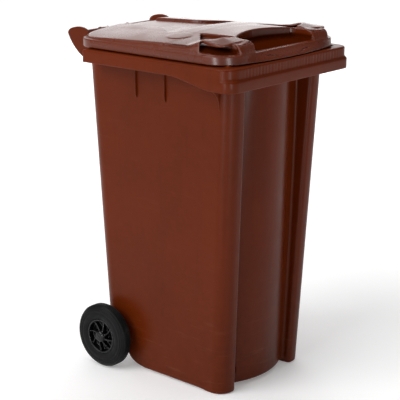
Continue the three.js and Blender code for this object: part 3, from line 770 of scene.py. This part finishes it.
def brown_plastic(name, gloss, rough_from, rough_to, shade_recesses=False):
    """Injection-moulded polyethylene: soft gloss, faint flow mottling, fine grain, scuffs low down, painted
    shade darkening towards the bottom and, when asked, painted shade in the lid's front hollows.
    """
    finish = Finish(name)
    base = finish.blend(finish.span(finish.noise(2.6, 3), 0.3, 0.7), tint(103, 40, 10), tint(92, 36, 9))
    # painted shade: the brown is blended towards a darker brown lower down, so the tub darkens towards the
    # bottom
    base = finish.blend(finish.span(finish.height(), 0.95, 0.05, 0, 0.42), base, tint(70, 30, 9))
    mottle = finish.span(finish.noise(38, 6, 0.6), 0.35, 0.75, 0, 0.32)
    base = finish.blend(mottle, base, tint(104, 44, 14))
    streak = finish.span(finish.noise(30, 5, 0.6, (1.0, 1.0, 0.06)), 0.52, 0.75, 0, 0.22)
    base = finish.blend(streak, base, tint(74, 29, 9))
    base = finish.blend(finish.wear(60, 0.45), base, tint(136, 78, 50))
    low_down = finish.span(finish.height(), 0.34, 0.02)
    scratch = finish.span(finish.noise(22, 8, 0.72, (0.25, 0.25, 2.4)), 0.56, 0.66)
    share = finish.combine("ADD", finish.combine("MULTIPLY", low_down, 0.1), 0.04)
    scuff = finish.combine("MULTIPLY", scratch, share)
    base = finish.blend(scuff, base, tint(132, 92, 70))
    if shade_recesses:
        # painted shade: the lid's front hollows are darkened to a near-black brown, and their gloss is taken
        # away
        recess_shade = lid_recess_shade(finish)
        base = finish.blend(finish.combine("MULTIPLY", recess_shade, 0.62), base, tint(26, 11, 6))
    finish.put(finish.shader.inputs["Base Color"], base)
    rough = finish.span(finish.noise(9, 5, 0.6), 0.3, 0.75, rough_from, rough_to)
    rough = finish.combine("ADD", rough, finish.combine("MULTIPLY", scuff, 0.5))
    finish.put(finish.shader.inputs["Roughness"], rough)
    finish.shader.inputs["Specular IOR Level"].default_value = gloss
    if shade_recesses:
        finish.put(finish.shader.inputs["Specular IOR Level"], finish.span(recess_shade, 0, 0.9, gloss, 0))
    finish.bump((finish.noise(5.5, 2), 0.25, 0.004), (finish.noise(170, 3), 0.09, 0.0012),
                (finish.noise(900, 2), 0.10, 0.0003), (scratch, -0.05, 0.0004))
    return finish.material


def lid_recess_shade(finish):
    """Share of painted shade in the lid's front hollows, by place: low down, inside the lip, ahead of the
    plate.
    """
    split = finish.node("ShaderNodeSeparateXYZ")
    finish.put(split.inputs["Vector"], finish.place)
    across = finish.combine("ABSOLUTE", split.outputs["X"], 0.0)
    up, back = split.outputs["Z"], split.outputs["Y"]
    inside = finish.combine("MULTIPLY", finish.span(across, 0.264, 0.252), finish.span(back, -0.326, -0.314))
    low = finish.combine("MULTIPLY", finish.span(up, 1.050, 1.040), finish.span(up, 1.0292, 1.0304))
    ahead = finish.span(back, -0.105, -0.135)
    return finish.combine("MULTIPLY", finish.combine("MULTIPLY", inside, low), ahead)


def black_plastic():
    finish = Finish("black_plastic_moulded")
    base = finish.blend(finish.span(finish.noise(16, 4), 0.3, 0.7), tint(11, 11, 12), tint(18, 18, 20))
    base = finish.blend(finish.wear(140, 0.5), base, tint(52, 51, 51))
    dust = finish.span(finish.noise(46, 7, 0.65), 0.55, 0.78, 0, 0.12)
    finish.put(finish.shader.inputs["Base Color"], finish.blend(dust, base, tint(82, 76, 70)))
    finish.put(finish.shader.inputs["Roughness"], finish.span(finish.noise(30, 5), 0.3, 0.75, 0.20, 0.32))
    finish.shader.inputs["Specular IOR Level"].default_value = 0.3
    finish.bump((finish.noise(240, 3), 0.12, 0.0008), (finish.noise(1100, 2), 0.10, 0.0003))
    return finish.material


def rubber_tyre():
    finish = Finish("rubber_tyre_solid")
    base = finish.blend(finish.span(finish.noise(20, 5), 0.3, 0.7), tint(10, 10, 11), tint(16, 16, 17))
    dust = finish.span(finish.noise(70, 7, 0.7), 0.5, 0.78, 0, 0.3)
    base = finish.blend(dust, base, tint(40, 38, 37))
    finish.put(finish.shader.inputs["Base Color"], base)
    finish.put(finish.shader.inputs["Roughness"], finish.span(finish.noise(52, 6), 0.3, 0.75, 0.40, 0.56))
    finish.shader.inputs["Specular IOR Level"].default_value = 0.14
    finish.bump((finish.noise(130, 5, 0.65), 0.2, 0.0009), (finish.noise(900, 3), 0.2, 0.0003))
    return finish.material


def zinc_steel():
    finish = Finish("zinc_steel_plated")
    patches = finish.span(finish.noise(60, 5), 0.3, 0.7)
    base = finish.blend(patches, tint(176, 178, 180), tint(148, 149, 150))
    stain = finish.span(finish.noise(24, 7, 0.7), 0.56, 0.74, 0, 0.6)
    finish.put(finish.shader.inputs["Base Color"], finish.blend(stain, base, tint(120, 104, 86)))
    brushed = finish.noise(180, 5, 0.6, (1.0, 0.06, 0.06))
    stained = finish.combine("MULTIPLY", stain, 0.4)
    rough = finish.combine("ADD", finish.span(brushed, 0.3, 0.75, 0.26, 0.42), stained)
    finish.put(finish.shader.inputs["Roughness"], rough)
    finish.shader.inputs["Metallic"].default_value = 1.0
    finish.bump((brushed, 0.12, 0.0002))
    return finish.material


def pale_floor():
    finish = Finish("studio_floor")
    patches = finish.span(finish.noise(3, 4), 0.3, 0.7)
    base = finish.blend(patches, (0.90, 0.90, 0.90, 1), (0.93, 0.93, 0.93, 1))
    finish.put(finish.shader.inputs["Base Color"], base)
    finish.put(finish.shader.inputs["Roughness"], finish.span(finish.noise(60, 4), 0.3, 0.7, 0.72, 0.82))
    finish.bump((finish.noise(900, 2), 0.03, 0.0002))
    finish.shader.inputs["Emission Color"].default_value = (1, 1, 1, 1)
    finish.shader.inputs["Emission Strength"].default_value = 0.2
    return finish.material


LID_PLASTIC = brown_plastic("brown_plastic_lid", 0.42, 0.24, 0.32, True)
MATERIALS = {
    "brown_plastic": brown_plastic("brown_plastic_tub", 0.11, 0.30, 0.40),
    "black_plastic": black_plastic(),
    "rubber_tyre": rubber_tyre(),
    "zinc_steel": zinc_steel(),
}


# ---------------------------------------------------------------- pieces
TUB_KEEP, LID_KEEP = 0.42, 0.6          # share of the triangles that is kept
TUB_WALLS = (130, 900)                  # heights between which no triangles of the tub are given up
WALL_SETTLE = (160, 850)                # heights between which its points are moved onto the wall's two faces
PROBE = 0.05                            # step over which a field's slope is measured


def place(thing, slot, body, *nodes):
    """Gives a finished piece its material and its body, and hides the CAD nodes that it stands for."""
    thing.data.materials.clear()
    thing.data.materials.append(MATERIALS[slot])
    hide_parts(*nodes)
    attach(thing, body)
    return thing


def mirror_mesh(points, faces):
    """The same mesh on the other side of the bin's middle plane."""
    points = np.asarray(points, float) * [-1, 1, 1]
    return points, np.asarray(faces)[:, ::-1]


def settle(points, field, low, high, offsets):
    """Moves points between two heights exactly onto the nearest of a field's parallel surfaces."""
    chosen = (points[:, 2] > low) & (points[:, 2] < high)
    place = points[chosen]
    for _ in range(2):
        value = field(*place.T)
        slope = np.stack([
            (field(place[:, 0] + PROBE, place[:, 1], place[:, 2]) - value) / PROBE,
            (field(place[:, 0], place[:, 1] + PROBE, place[:, 2]) - value) / PROBE], axis=1)
        target = np.array(offsets)[np.argmin(np.abs(value[:, None] - np.array(offsets)), axis=1)]
        step = (value - target) / np.maximum((slope ** 2).sum(axis=1), 0.2)
        place[:, :2] -= np.clip(step, -2, 2)[:, None] * slope
    points[chosen] = place
    return points


def make_tub():
    points, faces = tub_block().surface()
    points = settle(points, tub_plan, *WALL_SETTLE, (0, -THICK_WALL))
    body = mesh_object("tub_moulding", points, faces)
    thin_out(body, TUB_KEEP, *TUB_WALLS)
    plates = combined("tub_ribs", *rim_plates())
    bpy.ops.object.select_all(action="DESELECT")
    plates.select_set(True)
    body.select_set(True)
    bpy.context.view_layer.objects.active = body
    bpy.ops.object.join()
    return place(body, "brown_plastic", "bin", "bin_body")


def make_lid():
    points, faces = lid_block().surface()
    top = mesh_object("lid_moulding", points, faces)
    thin_out(top, LID_KEEP)
    place(top, "brown_plastic", "lid", "lid")
    top.data.materials[0] = LID_PLASTIC
    return top


def make_wheels():
    points, faces = hub_block().surface()
    points = points + WHEEL
    left_points, left_faces = mirror_mesh(points, faces)
    for side, name, mesh in ((1, "right", (points, faces)), (-1, "left", (left_points, left_faces))):
        body = "wheel_" + name
        centre = (side * WHEEL[0], WHEEL[1], WHEEL[2])
        middle = (0, WHEEL[1], WHEEL[2])
        place(mesh_object("hub_moulding_" + name, *mesh), "black_plastic", body, "wheel_hub_" + name)
        tyre = lathe("solid_tyre_" + name, softened(tyre_profile(), 0.9, 2), centre, 128)
        place(tyre, "rubber_tyre", body, "tyre_" + name)
        cap = lathe("snap_cap_" + name, [(r, side * at) for r, at in cap_profile()], middle, 64)
        place(cap, "black_plastic", body, "hub_cap_" + name)
        sleeve = softened(SLEEVE, 0.5, 2)
        place(lathe("sleeve_" + name, [(r, side * at) for r, at in sleeve], middle, 48),
              "black_plastic", "bin", "spacer_sleeve_" + name)
        ring = softened(LOCK_RING, 0.2, 2)
        place(lathe("lock_ring_" + name, [(r, side * at) for r, at in ring], middle, 48),
              "zinc_steel", "bin", "star_lock_ring_" + name)
        pin = softened(PIN, 0.7, 2)
        place(lathe("pin_" + name, [(r, side * at) for r, at in pin], (0, HINGE_Y, HINGE_Z), 40),
              "black_plastic", "bin", "hinge_pin_" + name)
    rod = softened(ROD, 1.6, 3)
    place(lathe("axle_rod", rod, (0, WHEEL[1], WHEEL[2]), 48), "zinc_steel", "bin", "axle")


# ---------------------------------------------------------------- studio
FLOOR_HALF, FLOOR_STEPS, FLOOR_TOP = 40.0, 12, -0.0004
CAMERA_AT, CAMERA_AIM = (-2.9443, -2.480, 1.6132), (-0.0515, -0.055, 0.5371)
CAMERA_LENS, CAMERA_ROLL = 116.4, 0.2
STRIPS = {"side_strip": (-3.2, -0.77, 0.75), "front_strip": (-1.61, -2.92, 0.75)}


def make_floor():
    mesh = bpy.data.meshes.new("studio_floor")
    edge = np.linspace(-FLOOR_HALF, FLOOR_HALF, FLOOR_STEPS + 1)
    points = [(x, y, FLOOR_TOP) for y in edge for x in edge]
    row = FLOOR_STEPS + 1
    corners = [j * row + i for j in range(FLOOR_STEPS) for i in range(FLOOR_STEPS)]
    mesh.from_pydata(points, [], [(at, at + 1, at + row + 1, at + row) for at in corners])
    floor = bpy.data.objects.new("studio_floor", mesh)
    mesh.materials.append(pale_floor())
    bpy.context.scene.collection.objects.link(floor)


def lamp(name, location, aim, width, height, power):
    data = bpy.data.lights.new(name, "AREA")
    data.shape = "RECTANGLE"
    data.size, data.size_y = width, height
    data.energy = power
    light = bpy.data.objects.new(name, data)
    light.location = location
    light.rotation_euler = (Vector(aim) - Vector(location)).to_track_quat("-Z", "Y").to_euler()
    bpy.context.scene.collection.objects.link(light)
    return light


def sun(name, towards, strength, angle):
    data = bpy.data.lights.new(name, "SUN")
    data.energy, data.angle = strength, math.radians(angle)
    light = bpy.data.objects.new(name, data)
    light.rotation_euler = Vector(towards).to_track_quat("Z", "Y").to_euler()
    bpy.context.scene.collection.objects.link(light)


def make_light():
    """A dim surround that the camera sees as full white, two broad suns, a softbox and two narrow strips."""
    world = bpy.data.worlds.new("studio")
    world.use_nodes = True
    nodes, link = world.node_tree.nodes, world.node_tree.links.new
    either = nodes.new("ShaderNodeMixShader")
    link(nodes.new("ShaderNodeLightPath").outputs["Is Camera Ray"], either.inputs[0])
    backgrounds = ((nodes["Background"], 0.19), (nodes.new("ShaderNodeBackground"), 1.0))
    for number, (background, strength) in enumerate(backgrounds, 1):
        background.inputs["Color"].default_value = (1, 1, 1, 1)
        background.inputs["Strength"].default_value = strength
        link(background.outputs[0], either.inputs[number])
    link(either.outputs[0], nodes["World Output"].inputs["Surface"])
    bpy.context.scene.world = world
    sun("left_key", (-0.8, 0.25, 0.62), 1.95, 46)
    sun("overhead", (0.1, 0.2, 1.0), 1.2, 60)
    lamp("rear_softbox", (4.8, 4.0, 2.0), (0, 0, 1.0), 5.0, 3.4, 95)
    for name, place_at in STRIPS.items():
        strip = lamp(name, place_at, (-0.25, -0.25, 0.9), 0.16, 1.4, 28)
        strip.visible_diffuse = False
        strip.visible_camera = False


def make_camera():
    data = bpy.data.cameras.new("camera")
    data.sensor_width = 36
    data.lens = CAMERA_LENS
    data.clip_end = 60
    data.dof.use_dof = False
    camera = bpy.data.objects.new("camera", data)
    start, aim = Vector(CAMERA_AT), Vector(CAMERA_AIM)
    camera.location = start
    camera.rotation_euler = (aim - start).to_track_quat("-Z", "Y").to_euler()
    camera.rotation_euler.rotate_axis("Z", math.radians(CAMERA_ROLL))
    bpy.context.scene.collection.objects.link(camera)
    bpy.context.scene.camera = camera


make_tub()
make_lid()
make_wheels()
make_floor()
make_light()
make_camera()
bpy.context.scene.view_settings.view_transform = "Standard"

bpy.context.view_layer.update()
